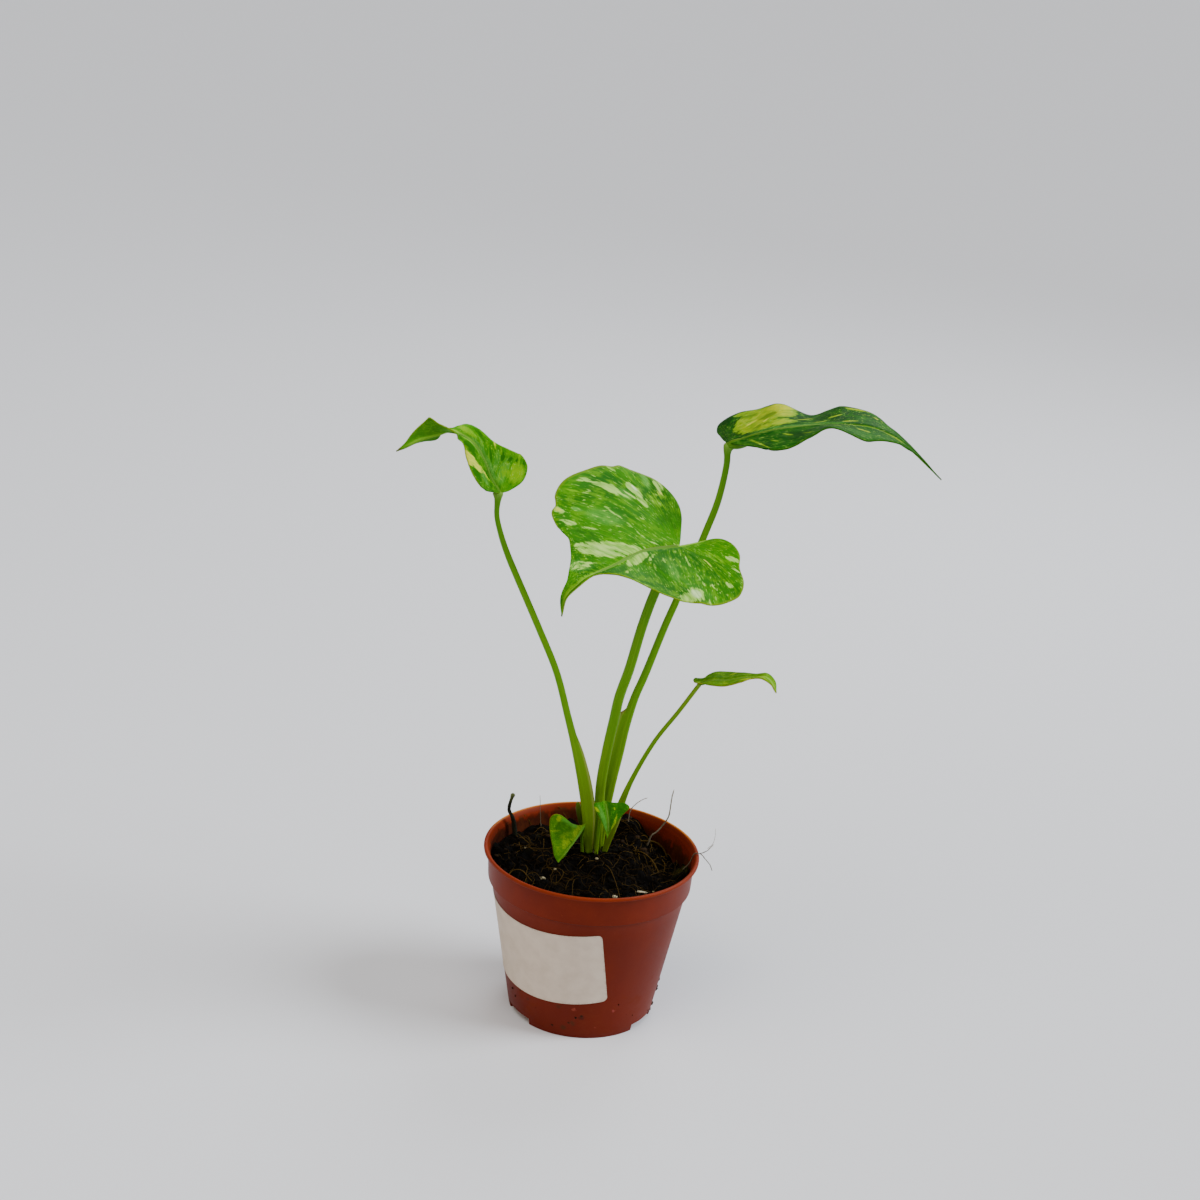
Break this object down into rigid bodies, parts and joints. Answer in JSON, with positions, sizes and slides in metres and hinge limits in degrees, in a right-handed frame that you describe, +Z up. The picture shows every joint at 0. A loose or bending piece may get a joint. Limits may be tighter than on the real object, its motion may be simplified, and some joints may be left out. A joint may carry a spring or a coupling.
{
  "type": "potted variegated monstera plant",
  "caption": "Young potted aroid with heart-shaped variegated leaves on long stalks, growing from a tapered nursery pot filled with fibrous mix",
  "frame": {"origin": "centre of the pot's underside, on the surface it stands on", "axes": "+Z up along the pot's axis and the plant's height, -Y the front that the picture is taken from, +X to its right"},
  "size_m": [0.2184, 0.115, 0.2666],
  "materials": {
    "pot_plastic": "satin, thin injection-moulded terracotta-coloured plastic with a brighter rim edge",
    "label_paper": "blank warm grey-white matt sticker",
    "potting_mix": "dark brown fibrous mix of bark, peat and coir with pale grains",
    "stem_base": "knobbly olive-brown stem base",
    "petiole_green": "smooth satin green stalk, yellower and thin-edged at the sheath",
    "leaf_variegated": "satin green blade with cream-green patches, streaks and paler veins",
    "shoot_green": "dull grey-green young shoot",
    "twig_dark": "dark rough twig with an olive tip"
  },
  "bodies": {
    "root": {"pot": "pot_plastic", "label": "label_paper", "soil": "potting_mix", "crown": "stem_base", "petiole_left": "petiole_green", "petiole_centre": "petiole_green", "petiole_right": "petiole_green", "petiole_small_right": "petiole_green", "petiole_low_left": "petiole_green", "petiole_low_right": "petiole_green", "shoot": "shoot_green", "twig": "twig_dark", "blade_left": "leaf_variegated", "blade_centre": "leaf_variegated", "blade_right": "leaf_variegated", "blade_small_right": "leaf_variegated", "blade_low_left": "leaf_variegated", "blade_low_right": "leaf_variegated"}
  },
  "joints": []
}
